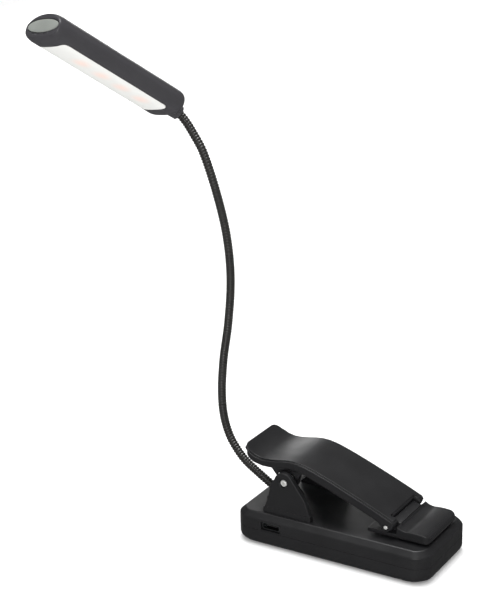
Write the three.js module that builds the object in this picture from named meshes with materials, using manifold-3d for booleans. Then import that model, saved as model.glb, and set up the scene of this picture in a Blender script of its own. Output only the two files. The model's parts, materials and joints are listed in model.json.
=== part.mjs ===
// Clip-on reading lamp: a clip whose base box is its lower jaw, a sprung lever with a hinged
// jaw plate, a gooseneck arm and a bar-shaped LED head. Millimetres, +Z up. The origin is the
// middle of the base's underside; +X runs along the base towards the jaws' open end.

import * as THREE from "three";
import { mergeVertices } from "three/addons/utils/BufferGeometryUtils.js";
import Module from "manifold-3d";

const wasm = await Module();
wasm.setup();

// ---------------------------------------------------------------- driving dimensions

const GAP = 0.3; // clearance between neighbouring pieces
const ROUND_SIDES = 24; // sides of a round part

const base = {
  length: 85,
  width: 40,
  height: 13.5,
  corner: 4.2, // 45 degree facet on each upright corner
  chamferIn: 2.25,
  chamferDown: 2.15,
  bottomRound: 2.8,
  wall: 1.8,
  roof: 1.8,
  floor: 1.6,
  seam: 6.6, // height of the joint between shell and tray
};

const roof = base.height; // what stands on the base is measured from its roof
const pivot = { x: -21.3, z: roof + 14.3 }; // axis of the lever, along Y
const pivotPin = { radius: 1.35, dimple: 0.65, dimpleDepth: 1.2 };
const ear = { topRadius: 4.3, thickness: 2.3, footLeft: 8.9, footRight: 11.8, plinth: 2.4, plinthOut: 0.4 };

const lever = { halfWidth: 13.8, plate: 2.1, rim: 1.9, rimDrop: 3.4, thumbRound: 4, notchHalf: 9.6 };
const cheek = { inner: 9.0, outer: 11.0, radius: 4.0 };
const archClearance = 0.5; // between the lever's arch and the ear's round top

const spring = { meanRadius: 2.9, wireRadius: 0.45, halfLength: 8.1, turns: 10 };

const jawAxis = { x: 22.5, z: roof + 4.5 }; // axis of the jaw plate, along Y
const jawPinRadius = 0.8;
const lug = { radius: 1.8, end: jawAxis.x + 3.7 };
const jaw = {
  halfWidth: 12.9,
  back: 14.4,
  front: 40.9,
  under: roof + 0.9,
  lap: 1.5, // thickness of the tongue that reaches back under the lever
  knuckle: 2.3,
  cornerRound: 3,
};
const grip = {
  thickness: 1.1,
  proud: 0.6,
  backX: 26,
  frontX: jaw.front - 1.9,
  halfWidth: jaw.halfWidth - 2.5,
};

const neck = { radius: 1.8, ballShrink: 0.08, sides: 10, step: 6 };
const neckRoot = { mouthX: 8.1 - base.length / 2, mouthZ: roof + 2.4, slope: 32, depth: 8.8 }; // its socket
const boss = { halfWidth: 5, reach: 3.8 };
const ferrule = { radius: neck.radius + 1, length: 5, seat: 3 };

const head = { length: 68.5, width: 20.2, back: 6.0, front: 5.35, wall: 1.4 };
const headDome = { neckEnd: 3.2, tip: 3.6, tipAcross: 0.93, tipUp: 0.76, squareness: 3 };
// The head's neck end, measured from the gooseneck's last point, and its turns in degrees.
const headPose = { x: 1.7, y: 5.3, z: -3.8, heading: -108.4, rise: 33.9, roll: 10.7 };
const windowCut = { start: 7.5, end: head.length - 6, halfWidth: 7.7 };
const diffuserThickness = 1.2;
const ledBoard = { start: 8.0, end: head.length - 4.5, halfWidth: 6.5, top: -1.7, thickness: 1.0 };
const led = { count: 8, first: 10.5, fromEnd: 4.5, length: 2.8, width: 3.5, height: 0.7 };
const ledPitch = (ledBoard.end - led.fromEnd - led.first) / (led.count - 1);
const touch = { halfWidth: 8.7, halfHeight: 2.6, rise: 0.3, thickness: 0.8, contactRadius: 0.7 };
const collar = { topRadius: 3.8, freeRadius: 2.9, length: 2.6, nutRadius: 3.1, nutLength: 2.5 };

const usb = { x: 16.8 - base.length / 2, z: 8.75, width: 7.9, height: 2.8, depth: 5.0, wall: 0.3, recess: 0.9 };
const board = { minX: usb.x - 7.9, maxX: usb.x + 8.9, maxY: 9, thickness: 1.0 };
const battery = { minX: -10, maxX: 29, halfWidth: 13, height: 6.2 };
const screw = { inX: 5.7, inY: 5.8, shank: 1.0, headRadius: 1.9, headHeight: 1.3, post: 2.4, belowRoof: 1.9 };
const leadRadius = 0.55;

// Centreline of the gooseneck from its socket's mouth, in order from the base to the head.
const neckPoints = [
  [-4.2, 0, 2.6],
  [-9.5, 0, 5.9],
  [-14.4, 0, 9.3],
  [-18.6, 0, 13.9],
  [-22, 0, 19.5],
  [-24.3, 0, 27.3],
  [-25, 0, 37.1],
  [-23.8, 0, 52.1],
  [-21, 0, 68.6],
  [-19.3, 0, 88.1],
  [-20.6, 0, 105.1],
  [-24.7, 0, 122.1],
  [-30.8, 0, 138.9],
  [-33.8, -0.4, 144.3],
  [-37.4, -1.5, 150.5],
  [-40.4, -3.1, 154.6],
  [-42.4, -5.6, 157.4],
  [-44, -9, 160.3],
];
const neckJoints = [13, 53, 93.5, 134, 174.5]; // distances along the centreline
const insideHead = 4; // how far the gooseneck's end runs on inside the head

// ---------------------------------------------------------------- materials

const paint = (color, roughness, metalness) => new THREE.MeshStandardMaterial({ color, roughness, metalness });
const blackPlastic = paint(0x1b1b1d, 0.45, 0);
const headPlastic = paint(0x37363a, 0.4, 0);
const blackMetal = paint(0x242427, 0.42, 0.6);
const brightSteel = paint(0xc9cacc, 0.25, 1);
const frosted = paint(0xe9e7e1, 0.55, 0);
const boardGreen = paint(0x1f5a38, 0.5, 0);
const chipBlack = paint(0x17171a, 0.5, 0);
const ledYellow = paint(0xe8d79a, 0.4, 0);
const rubberBlack = paint(0x141414, 0.9, 0);
const foilSilver = paint(0xb9bcc0, 0.4, 0.3);
const wireRed = paint(0xb02020, 0.5, 0);
const wireBlack = paint(0x151515, 0.5, 0);
const touchSilver = paint(0xb4b6b4, 0.35, 0.2);
const brass = paint(0xb8964a, 0.35, 1);

// ---------------------------------------------------------------- solids

function solid(geometry) {
  const bare = geometry.clone();
  bare.deleteAttribute("normal");
  bare.deleteAttribute("uv");
  const merged = mergeVertices(bare, 1e-4);
  const vertProperties = new Float32Array(merged.getAttribute("position").array);
  const triVerts = new Uint32Array(merged.index.array);
  return new wasm.Manifold(new wasm.Mesh({ numProp: 3, vertProperties, triVerts }));
}

function geometryOf(manifold) {
  const mesh = manifold.getMesh();
  const geometry = new THREE.BufferGeometry();
  geometry.setAttribute("position", new THREE.BufferAttribute(new Float32Array(mesh.vertProperties), 3));
  geometry.setIndex(new THREE.BufferAttribute(new Uint32Array(mesh.triVerts), 1));
  geometry.computeVertexNormals();
  return geometry;
}

function piece(name, shape, material) {
  const geometry = shape instanceof THREE.BufferGeometry ? geometryOf(solid(shape)) : geometryOf(shape);
  const mesh = new THREE.Mesh(geometry, material);
  mesh.name = name;
  return mesh;
}

const join = (first, ...others) => others.reduce((sum, other) => sum.add(other), first);
const cut = (first, ...others) => others.reduce((rest, other) => rest.subtract(other), first);

function box(minX, maxX, minY, maxY, minZ, maxZ) {
  const geometry = new THREE.BoxGeometry(maxX - minX, maxY - minY, maxZ - minZ);
  geometry.translate((minX + maxX) / 2, (minY + maxY) / 2, (minZ + maxZ) / 2);
  return solid(geometry);
}

// A round bar along Y, centred on (x, z).
function barY(radius, minY, maxY, x, z, sides = ROUND_SIDES) {
  const geometry = new THREE.CylinderGeometry(radius, radius, maxY - minY, sides);
  geometry.translate(x, (minY + maxY) / 2, z);
  return solid(geometry);
}

// A round bar or cone standing on Z.
function barZ(radius, minZ, maxZ, x, y, topRadius = radius, sides = ROUND_SIDES) {
  const geometry = new THREE.CylinderGeometry(topRadius, radius, maxZ - minZ, sides);
  geometry.rotateX(Math.PI / 2);
  geometry.translate(x, y, (minZ + maxZ) / 2);
  return solid(geometry);
}

// A side outline in X and Z, made as thick as minY..maxY.
function slabY(shape, minY, maxY, curveSegments = 8) {
  const geometry = new THREE.ExtrudeGeometry(shape, { depth: maxY - minY, bevelEnabled: false, curveSegments });
  geometry.rotateX(Math.PI / 2);
  geometry.translate(0, maxY, 0);
  return solid(geometry);
}

// A plan outline in X and Y, made as thick as minZ..maxZ.
function slabZ(shape, minZ, maxZ, curveSegments = 6) {
  const geometry = new THREE.ExtrudeGeometry(shape, { depth: maxZ - minZ, bevelEnabled: false, curveSegments });
  geometry.translate(0, 0, minZ);
  return solid(geometry);
}

const outline = (points) => new THREE.Shape(points.map(([x, y]) => new THREE.Vector2(x, y)));

// A bar from one point towards another, used for what lies along the gooseneck.
function barAlong(from, direction, start, end, radius, endRadius = radius, sides = ROUND_SIDES) {
  const geometry = new THREE.CylinderGeometry(endRadius, radius, end - start, sides);
  geometry.translate(0, (start + end) / 2, 0);
  const turn = new THREE.Quaternion().setFromUnitVectors(new THREE.Vector3(0, 1, 0), direction);
  geometry.applyQuaternion(turn);
  geometry.translate(from.x, from.y, from.z);
  return solid(geometry);
}

function tube(curve, radius, sides, steps) {
  const section = new THREE.Shape();
  for (let i = 0; i < sides; i += 1) {
    const angle = (2 * Math.PI * i) / sides;
    const place = [radius * Math.cos(angle), radius * Math.sin(angle)];
    if (i === 0) section.moveTo(...place);
    else section.lineTo(...place);
  }
  section.closePath();
  return solid(new THREE.ExtrudeGeometry(section, { steps, extrudePath: curve, bevelEnabled: false }));
}

// ---------------------------------------------------------------- base box

function baseOutline(inset) {
  const halfLength = base.length / 2 - inset;
  const halfWidth = base.width / 2 - inset;
  const corner = base.corner - inset * (2 - Math.SQRT2);
  return outline([
    [-halfLength + corner, -halfWidth],
    [halfLength - corner, -halfWidth],
    [halfLength, -halfWidth + corner],
    [halfLength, halfWidth - corner],
    [halfLength - corner, halfWidth],
    [-halfLength + corner, halfWidth],
    [-halfLength, halfWidth - corner],
    [-halfLength, -halfWidth + corner],
  ]);
}

// The base's outer body with the same edge treatment at its top and bottom.
function baseBlock(edgeIn, edgeDown, segments) {
  const geometry = new THREE.ExtrudeGeometry(baseOutline(0), {
    depth: base.height - 2 * edgeDown,
    bevelEnabled: true,
    bevelThickness: edgeDown,
    bevelSize: edgeIn,
    bevelOffset: -edgeIn,
    bevelSegments: segments,
  });
  geometry.translate(0, 0, edgeDown);
  return solid(geometry);
}

const far = 200; // larger than the whole object, for half-space cuts
const keep = (body, minZ, maxZ) => body.intersect(box(-far, far, -far, far, minZ, maxZ));

const leverEdge = lever.halfWidth; // the ears stand just outside the lever
const earInner = leverEdge + GAP;
const earOuter = earInner + ear.thickness;
const pinHole = pivotPin.radius + GAP;

function earShape() {
  const foot = base.height - 1 - pivot.z;
  const shape = new THREE.Shape();
  shape.moveTo(-ear.footLeft, foot);
  shape.lineTo(ear.footRight, foot);
  shape.lineTo(ear.footRight, base.height + ear.plinth - pivot.z);
  shape.lineTo(ear.footRight - 2.3, base.height + 8.6 - pivot.z);
  const start = Math.asin(0.5);
  const end = Math.PI - 0.3;
  shape.absarc(0, 0, ear.topRadius, start, end, false);
  shape.lineTo(-5.6, -1);
  shape.quadraticCurveTo(-6.9, -4.5, -7.1, -7.4);
  shape.lineTo(-ear.footLeft, base.height + ear.plinth - pivot.z);
  shape.closePath();
  return shape;
}

function earPair() {
  const pieces = [];
  for (const side of [-1, 1]) {
    const minY = side < 0 ? -earOuter : earInner;
    const blade = slabY(earShape(), minY, minY + ear.thickness, 10).translate([pivot.x, 0, pivot.z]);
    const outMin = side < 0 ? -earOuter - ear.plinthOut : earInner;
    const outMax = side < 0 ? -earInner : earOuter + ear.plinthOut;
    const plinth = box(
      pivot.x - ear.footLeft - ear.plinthOut,
      pivot.x + ear.footRight + ear.plinthOut,
      outMin,
      outMax,
      base.height - 1,
      base.height + ear.plinth,
    );
    pieces.push(blade, plinth);
  }
  return join(...pieces);
}

// The gooseneck's socket: direction from the mouth down into the base.
const slope = THREE.MathUtils.degToRad(neckRoot.slope);
const socketDown = new THREE.Vector3(Math.cos(slope), 0, -Math.sin(slope));
const socketMouth = new THREE.Vector3(neckRoot.mouthX, 0, neckRoot.mouthZ);

function socketBoss() {
  const upX = Math.sin(slope);
  const upZ = Math.cos(slope);
  const top = [neckRoot.mouthX + upX * boss.reach, neckRoot.mouthZ + upZ * boss.reach];
  const low = [neckRoot.mouthX - upX * boss.reach, neckRoot.mouthZ - upZ * boss.reach];
  const ramp = top[1] - base.height;
  const shape = outline([
    [low[0], base.height - 1],
    [top[0] + 4 + ramp, base.height - 1],
    [top[0] + 4, top[1]],
    top,
    low,
  ]);
  return slabY(shape, -boss.halfWidth, boss.halfWidth);
}

const socketBore = barAlong(socketMouth, socketDown, -4, 20, neck.radius + GAP, neck.radius + GAP, 16);
const ferruleSeat = barAlong(socketMouth, socketDown, ferrule.seat, 14, ferrule.radius + GAP);

const screwX = base.length / 2 - screw.inX;
const screwY = base.width / 2 - screw.inY;
const screwSpots = [
  [-screwX, -screwY],
  [screwX, -screwY],
  [screwX, screwY],
  [-screwX, screwY],
];
const screwBottom = 0.5;
const screwHeadTop = screwBottom + screw.headHeight;
const screwTip = base.height - base.roof - screw.belowRoof;

function baseTopShell() {
  const outer = keep(baseBlock(base.chamferIn, base.chamferDown, 1), base.seam, base.height);
  const cavity = slabZ(baseOutline(base.wall), base.seam - 1, base.height - base.roof);
  const posts = screwSpots.map(([x, y]) => barZ(screw.post, base.seam, base.height - 1, x, y, screw.post, 16));
  const pilots = screwSpots.map(([x, y]) => {
    const top = screwTip + GAP;
    return barZ(screw.shank + GAP, base.seam - 1, top, x, y, screw.shank + GAP, 12);
  });
  const usbHole = box(
    usb.x - usb.width / 2 - GAP,
    usb.x + usb.width / 2 + GAP,
    -base.width / 2 - 1,
    -base.width / 2 + base.wall + 1,
    usb.z - usb.height / 2 - GAP,
    usb.z + usb.height / 2 + GAP,
  );
  let shell = cut(outer, cavity);
  shell = join(shell, ...posts, earPair(), socketBoss());
  return cut(
    shell,
    ...pilots,
    usbHole,
    socketBore,
    ferruleSeat,
    barY(pinHole, -far, far, pivot.x, pivot.z),
  );
}

function baseBottomTray() {
  const trayTop = base.seam - GAP;
  const outer = keep(baseBlock(base.bottomRound, base.bottomRound, 4), 0, trayTop);
  const cavity = slabZ(baseOutline(base.wall), base.floor, trayTop + 1);
  const posts = screwSpots.map(([x, y]) => barZ(screw.post, 0.2, trayTop, x, y, screw.post, 16));
  const holes = screwSpots.map(([x, y]) => {
    const headSeat = barZ(screw.headRadius + GAP, -1, screwHeadTop + GAP, x, y);
    const shankHole = barZ(screw.shank + GAP, 0, trayTop + 1, x, y, screw.shank + GAP, 12);
    return headSeat.add(shankHole);
  });
  const rib = boardBottom - GAP;
  const ribs = [board.minX + 2, board.maxX - 3].map((x) => box(x, x + 1, -14, 7, base.floor - 0.5, rib));
  return cut(join(cut(outer, cavity), ...posts, ...ribs), ...holes);
}

function coverScrew([x, y]) {
  const headPiece = barZ(screw.headRadius, screwBottom, screwHeadTop, x, y, screw.headRadius, 16);
  const shank = barZ(screw.shank, screwHeadTop - 0.2, screwTip - 1, x, y, screw.shank, 12);
  const tip = barZ(screw.shank, screwTip - 1, screwTip, x, y, 0.2, 12);
  const slots = [0, 90].map((turn) => box(-1.1, 1.1, -0.25, 0.25, -1, 0.6)
    .rotate([0, 0, turn])
    .translate([x, y, screwBottom]));
  return cut(join(headPiece, shank, tip), ...slots);
}

// ---------------------------------------------------------------- inside the base

const boardTop = usb.z - usb.height / 2 - GAP;
const boardBottom = boardTop - board.thickness;
const usbFront = -base.width / 2 + usb.recess;
const boardMinY = -base.width / 2 + base.wall + GAP;

function roundedBox(width, height, round) {
  const shape = new THREE.Shape();
  const w = width / 2;
  const h = height / 2;
  shape.moveTo(-w + round, -h);
  shape.lineTo(w - round, -h);
  shape.absarc(w - round, -h + round, round, -Math.PI / 2, 0, false);
  shape.lineTo(w, h - round);
  shape.absarc(w - round, h - round, round, 0, Math.PI / 2, false);
  shape.lineTo(-w + round, h);
  shape.absarc(-w + round, h - round, round, Math.PI / 2, Math.PI, false);
  shape.lineTo(-w, -h + round);
  shape.absarc(-w + round, -h + round, round, Math.PI, 1.5 * Math.PI, false);
  return shape;
}

function usbShell() {
  const outer = slabY(roundedBox(usb.width, usb.height, 0.8), usbFront, usbFront + usb.depth, 3);
  const hollow = slabY(
    roundedBox(usb.width - 2 * usb.wall, usb.height - 2 * usb.wall, 0.6),
    usbFront - 1,
    usbFront + usb.depth - 0.5,
    3,
  );
  return cut(outer, hollow).translate([usb.x, 0, usb.z]);
}

function usbTongue() {
  return box(usb.x - 2.6, usb.x + 2.6, usbFront + 1, usbFront + usb.depth - 0.5 - GAP, usb.z - 0.2, usb.z + 0.5);
}

function batteryCell() {
  const length = battery.maxX - battery.minX;
  const shape = roundedBox(length, 2 * battery.halfWidth, 1.5);
  const bottom = base.floor + GAP;
  return slabZ(shape, bottom, bottom + battery.height, 3)
    .translate([(battery.minX + battery.maxX) / 2, 0, 0]);
}

// A lead from the battery's end face to just above the charging board.
function batteryLead(y) {
  const z = boardTop + GAP + leadRadius;
  const curve = new THREE.CatmullRomCurve3([
    new THREE.Vector3(battery.minX - GAP, y, base.floor + battery.height - 0.6),
    new THREE.Vector3(battery.minX - 2.2, y, z - 0.2),
    new THREE.Vector3(board.maxX - 1.5, y, z),
    new THREE.Vector3(board.maxX - 4, y, z),
  ]);
  return tube(curve, leadRadius, 8, 8);
}

// ---------------------------------------------------------------- lever

// The lever's upper surface in side view, from the thumb end to the jaw end.
const leverTopFromPivot = [
  [-19.9, 10.6],
  [-16.5, 8.1],
  [-12.2, 6.7],
  [-7.2, 6.9],
  [-0.7, 8.1],
  [4.1, 8.3],
  [9.3, 7.3],
  [17.3, 4.7],
  [27.3, 0.9],
  [37.3, -3.1],
  [lug.end - pivot.x, -7.5],
];
const leverTop = new THREE.SplineCurve(
  leverTopFromPivot.map(([x, z]) => new THREE.Vector2(pivot.x + x, pivot.z + z)),
);
const leverSteps = 22;

// A band under the upper surface, whose depth changes evenly between the two given depths.
function leverBand(depthAtThumb, depthAtJaw) {
  const upper = leverTop.getSpacedPoints(leverSteps);
  const lower = upper.map((point, i) => {
    const t = Math.min(1, i / (leverSteps * 0.5));
    const depth = depthAtThumb + (depthAtJaw - depthAtThumb) * t;
    const tangent = leverTop.getTangentAt(i / leverSteps);
    return new THREE.Vector2(point.x + tangent.y * depth, point.y - tangent.x * depth);
  });
  return new THREE.Shape([...upper, ...lower.reverse()]);
}

function leverPlan() {
  const { halfWidth, thumbRound, notchHalf } = lever;
  const thumbX = leverTop.points[0].x - 3;
  const shape = new THREE.Shape();
  const startX = leverTop.points[0].x;
  shape.moveTo(startX + thumbRound, -halfWidth);
  shape.lineTo(lug.end - 1, -halfWidth);
  shape.lineTo(lug.end, -halfWidth + 1);
  shape.lineTo(lug.end, -notchHalf);
  shape.lineTo(lipX, -notchHalf);
  shape.lineTo(lipX, notchHalf);
  shape.lineTo(lug.end, notchHalf);
  shape.lineTo(lug.end, halfWidth - 1);
  shape.lineTo(lug.end - 1, halfWidth);
  shape.lineTo(startX + thumbRound, halfWidth);
  shape.absarc(startX + thumbRound, halfWidth - thumbRound, thumbRound, Math.PI / 2, Math.PI * 0.88, false);
  shape.lineTo(thumbX, halfWidth - thumbRound);
  shape.lineTo(thumbX, -halfWidth + thumbRound);
  shape.absarc(startX + thumbRound, -halfWidth + thumbRound, thumbRound, -Math.PI * 0.88, -Math.PI / 2, false);
  return shape;
}
const lipX = jawAxis.x + 1.0; // front edge of the lever between its two lugs

function clipLever() {
  const wide = lever.halfWidth;
  const plate = slabY(leverBand(lever.plate, lever.plate), -wide, wide);
  const parts = [plate];
  const skirt = outline([
    [pivot.x - 7.6, pivot.z + 5.2],
    [pivot.x - 4.3, pivot.z + 1.2],
    [pivot.x + 4.3, pivot.z + 1.2],
    [pivot.x + 7.4, pivot.z + 5.2],
  ]);
  const web = outline([
    [pivot.x - 5.5, pivot.z + 5.7],
    [pivot.x - cheek.radius, pivot.z],
    [pivot.x + cheek.radius, pivot.z],
    [pivot.x + 4.2, pivot.z + 5.7],
  ]);
  for (const side of [-1, 1]) {
    const band = (inner, outer) => (side < 0 ? [-outer, -inner] : [inner, outer]);
    parts.push(slabY(leverBand(lever.plate, lever.rimDrop), ...band(wide - lever.rim, wide)));
    parts.push(slabY(skirt, ...band(wide - lever.rim, wide)));
    parts.push(slabY(web, ...band(cheek.inner, cheek.outer)));
    parts.push(barY(cheek.radius, ...band(cheek.inner, cheek.outer), pivot.x, pivot.z));
    parts.push(barY(lug.radius, ...band(lever.notchHalf, wide), jawAxis.x, jawAxis.z, 16));
    const lugWeb = outline([
      [jawAxis.x - 4.5, jawAxis.z + 3.2],
      [jawAxis.x - 0.6, jawAxis.z - 1.7],
      [jawAxis.x + 1.2, jawAxis.z - 1.3],
      [lug.end - 0.7, jawAxis.z + 0.4],
      [lug.end, jawAxis.z + 1.9],
    ]);
    parts.push(slabY(lugWeb, ...band(lever.notchHalf, wide)));
  }
  const body = join(...parts).intersect(slabZ(leverPlan(), 0, 60));
  const hinge = lever.notchHalf;
  const archRadius = ear.topRadius + archClearance;
  return cut(
    body,
    barY(archRadius, -wide - 1, -wide + lever.rim + 0.2, pivot.x, pivot.z, 32),
    barY(archRadius, wide - lever.rim - 0.2, wide + 1, pivot.x, pivot.z, 32),
    barY(pinHole, -far, far, pivot.x, pivot.z),
    barY(jawPinRadius + GAP, -far, far, jawAxis.x, jawAxis.z, 12),
    barY(jaw.knuckle + GAP, -hinge, hinge, jawAxis.x, jawAxis.z),
  );
}

function pivotRivet() {
  const shank = barY(pivotPin.radius, -earOuter, earOuter, pivot.x, pivot.z);
  const dimple = (minY, maxY) => barY(pivotPin.dimple, minY, maxY, pivot.x, pivot.z, 12);
  return cut(
    shank,
    dimple(-earOuter - 1, -earOuter + pivotPin.dimpleDepth),
    dimple(earOuter - pivotPin.dimpleDepth, earOuter + 1),
  );
}

// Torsion spring: a coil round the pivot, one leg on the base, the other under the thumb plate.
class SpringCurve extends THREE.Curve {
  getPoint(t, target = new THREE.Vector3()) {
    const { meanRadius: r, halfLength, turns } = spring;
    const baseAngle = THREE.MathUtils.degToRad(-50);
    const leverAngle = THREE.MathUtils.degToRad(85) + 2 * Math.PI * turns;
    const legBase = 17;
    const legLever = 9.5;
    const coil = (leverAngle - baseAngle) * r;
    const along = t * (legBase + coil + legLever);
    const inCoil = THREE.MathUtils.clamp(along - legBase, 0, coil);
    const angle = baseAngle + inCoil / r;
    const beyond = along < legBase ? along - legBase : Math.max(0, along - legBase - coil);
    const y = -halfLength + (2 * halfLength * inCoil) / coil;
    const x = pivot.x + r * Math.cos(angle) - beyond * Math.sin(angle);
    const z = pivot.z + r * Math.sin(angle) + beyond * Math.cos(angle);
    return target.set(x, y, z);
  }
}

// ---------------------------------------------------------------- jaw plate

function jawPlate() {
  const { back, front, under } = jaw;
  const side = new THREE.Shape();
  side.moveTo(back, under);
  side.lineTo(front - 1.1, under);
  side.lineTo(front, under + 0.9);
  side.lineTo(front, under + 1.9);
  side.quadraticCurveTo(front - 0.6, under + 3.1, front - 3, under + 3.5);
  side.quadraticCurveTo(front - 6.9, under + 3.8, front - 9.4, under + 3.4);
  side.quadraticCurveTo(lug.end + 2.8, under + 3.2, lug.end + 0.9, under + 4.8);
  side.lineTo(lug.end + 0.6, under + jaw.lap);
  side.lineTo(back, under + jaw.lap);
  const hinge = lever.notchHalf - GAP;
  const crown = outline([
    [jawAxis.x - jaw.knuckle, under + 0.5],
    [lug.end + 1.5, under + 0.5],
    [lug.end + 1.5, under + 4.5],
    [jawAxis.x + 1.2, jawAxis.z + jaw.knuckle - 0.3],
    [jawAxis.x - jaw.knuckle, jawAxis.z],
  ]);
  const plan = new THREE.Shape();
  const wide = jaw.halfWidth;
  const round = jaw.cornerRound;
  plan.moveTo(back, -wide);
  plan.lineTo(front - round, -wide);
  plan.absarc(front - round, -wide + round, round, -Math.PI / 2, 0, false);
  plan.lineTo(front, wide - round);
  plan.absarc(front - round, wide - round, round, 0, Math.PI / 2, false);
  plan.lineTo(back, wide);
  const plate = slabY(side, -wide, wide).intersect(slabZ(plan, 0, 60));
  const knuckle = barY(jaw.knuckle, -hinge, hinge, jawAxis.x, jawAxis.z);
  const gripSeat = box(
    grip.backX - GAP,
    grip.frontX + GAP,
    -grip.halfWidth - GAP,
    grip.halfWidth + GAP,
    under - 1,
    under - grip.proud + grip.thickness + GAP,
  );
  return cut(
    join(plate, knuckle, slabY(crown, -hinge, hinge)),
    barY(jawPinRadius + GAP, -far, far, jawAxis.x, jawAxis.z, 12),
    gripSeat,
  );
}

function jawGrip() {
  const bottom = jaw.under - grip.proud;
  return box(grip.backX, grip.frontX, -grip.halfWidth, grip.halfWidth, bottom, bottom + grip.thickness);
}

// ---------------------------------------------------------------- gooseneck

const socketEnd = socketMouth.clone().addScaledVector(socketDown, neckRoot.depth);
const neckCurve = new THREE.CatmullRomCurve3(
  [socketEnd, socketMouth, ...neckPoints.map((point) => new THREE.Vector3(...point).add(socketMouth))],
  false,
  "centripetal",
);
neckCurve.arcLengthDivisions = 800;
const neckLength = neckCurve.getLength();

class StretchOfNeck extends THREE.Curve {
  constructor(start, end) {
    super();
    this.start = start;
    this.end = end;
  }

  getPoint(t, target = new THREE.Vector3()) {
    const along = this.start + (this.end - this.start) * t;
    return neckCurve.getPointAt(THREE.MathUtils.clamp(along / neckLength, 0, 1), target);
  }
}

// One rigid stretch. Its upper end is a ball centred on the next joint; its lower end is a flat
// face that clears the ball below it.
function neckStretch(start, end, hasBall) {
  const steps = Math.max(2, Math.round((end - start) / neck.step));
  const stem = tube(new StretchOfNeck(start, end), neck.radius, neck.sides, steps);
  if (!hasBall) return stem;
  const place = neckCurve.getPointAt(end / neckLength);
  const ball = new THREE.SphereGeometry(neck.radius - neck.ballShrink, neck.sides, 6);
  ball.translate(place.x, place.y, place.z);
  return stem.add(solid(ball));
}
const pastBall = neck.radius + GAP;

function neckFerrule() {
  const { radius, length, seat } = ferrule;
  const ring = barAlong(socketMouth, socketDown, seat + GAP, seat + GAP + length, radius);
  return cut(ring, socketBore);
}

// ---------------------------------------------------------------- head

// The head in its own frame: X from the neck end to the tip, Y across, Z towards the back.
// Round back, squarer front: a lathe whose rings are reshaped.
function headBody(inset) {
  const { length } = head;
  const profile = [new THREE.Vector2(0, inset)];
  const domeSteps = 5;
  for (let i = 1; i <= domeSteps; i += 1) {
    const t = (i / domeSteps) * (Math.PI / 2);
    const x = inset + headDome.neckEnd * (1 - Math.cos(t));
    profile.push(new THREE.Vector2(Math.sin(t) ** 0.75, x));
  }
  const tipDrop = 1 - headDome.tipAcross;
  for (let i = 0; i <= 4; i += 1) {
    const t = (i / 4) * (Math.PI / 2);
    const x = length - inset - headDome.tip * (1 - Math.sin(t));
    profile.push(new THREE.Vector2(1 - tipDrop * (1 - Math.cos(t)), x));
  }
  profile.push(new THREE.Vector2(0, length - inset));
  const geometry = new THREE.LatheGeometry(profile, 36);
  geometry.rotateZ(-Math.PI / 2);
  const place = geometry.getAttribute("position");
  const power = 2 / headDome.squareness;
  const half = head.width / 2 - inset;
  for (let i = 0; i < place.count; i += 1) {
    const radius = Math.hypot(place.getY(i), place.getZ(i));
    const flatten = tipFlattening(place.getX(i) + inset);
    if (radius > 1e-6) {
      const across = place.getY(i) / radius;
      const up = place.getZ(i) / radius;
      const back = up >= 0;
      const y = back ? across : Math.sign(across) * Math.abs(across) ** power;
      const z = back ? up * (head.back - inset) : -(Math.abs(up) ** power) * (head.front - inset);
      place.setY(i, radius * half * y);
      place.setZ(i, radius * z * flatten);
    }
  }
  return solid(geometry);
}

// The tip's edge is rounded further over the back and front than over the sides.
function tipFlattening(x) {
  const into = THREE.MathUtils.clamp((x - head.length + headDome.tip) / headDome.tip, 0, 1);
  const fall = 1 - Math.sqrt(1 - into * into);
  return (1 - (1 - headDome.tipUp) * fall) / (1 - (1 - headDome.tipAcross) * fall);
}

const headGroup = new THREE.Group();
headGroup.position.copy(neckCurve.points.at(-1)).add(new THREE.Vector3(headPose.x, headPose.y, headPose.z));
headGroup.rotation.set(
  THREE.MathUtils.degToRad(headPose.roll),
  THREE.MathUtils.degToRad(-headPose.rise),
  THREE.MathUtils.degToRad(headPose.heading),
  "ZYX",
);
headGroup.updateMatrix();
const intoHead = headGroup.matrix.clone().invert();

const neckTipStart = neckJoints.at(-1) + pastBall;
const neckEndPoint = neckCurve.getPointAt(1).applyMatrix4(intoHead);
const neckEndBack = neckCurve.getPointAt(1 - insideHead / neckLength).applyMatrix4(intoHead);
const collarPoint = neckCurve.getPointAt((neckTipStart + 1.2) / neckLength).applyMatrix4(intoHead);
const collarWay = neckEndBack.clone().sub(collarPoint).normalize();

const passageMarks = Array.from({ length: 11 }, (_, i) => i / 10);

// The gooseneck's last stretch, seen from the head and run on past its end, to cut its passage.
function neckPassage(clearance) {
  const points = passageMarks.map((t) => {
    const along = neckTipStart - 3 + (neckLength - neckTipStart + 3) * t;
    return neckCurve.getPointAt(Math.min(1, along / neckLength)).applyMatrix4(intoHead);
  });
  const [before, end] = points.slice(-2);
  points.push(end.clone().add(end.clone().sub(before).setLength(2)));
  return tube(new THREE.CatmullRomCurve3(points), neck.radius + clearance, 16, 14);
}

function headShell() {
  const outer = headBody(0);
  const hollow = headBody(head.wall);
  const opening = box(
    windowCut.start,
    windowCut.end,
    -windowCut.halfWidth,
    windowCut.halfWidth,
    -20,
    -head.front / 2,
  );
  const padSeat = touchShape(GAP, head.length - touch.thickness - GAP, head.length + 2);
  const contactHole = barX(touch.contactRadius + GAP, head.length - 8, head.length, touch.rise);
  return cut(outer, hollow, opening, padSeat, contactHole, neckPassage(GAP));
}

function barX(radius, minX, maxX, z, sides = 12) {
  const geometry = new THREE.CylinderGeometry(radius, radius, maxX - minX, sides);
  geometry.rotateZ(Math.PI / 2);
  geometry.translate((minX + maxX) / 2, 0, z);
  return solid(geometry);
}

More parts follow.
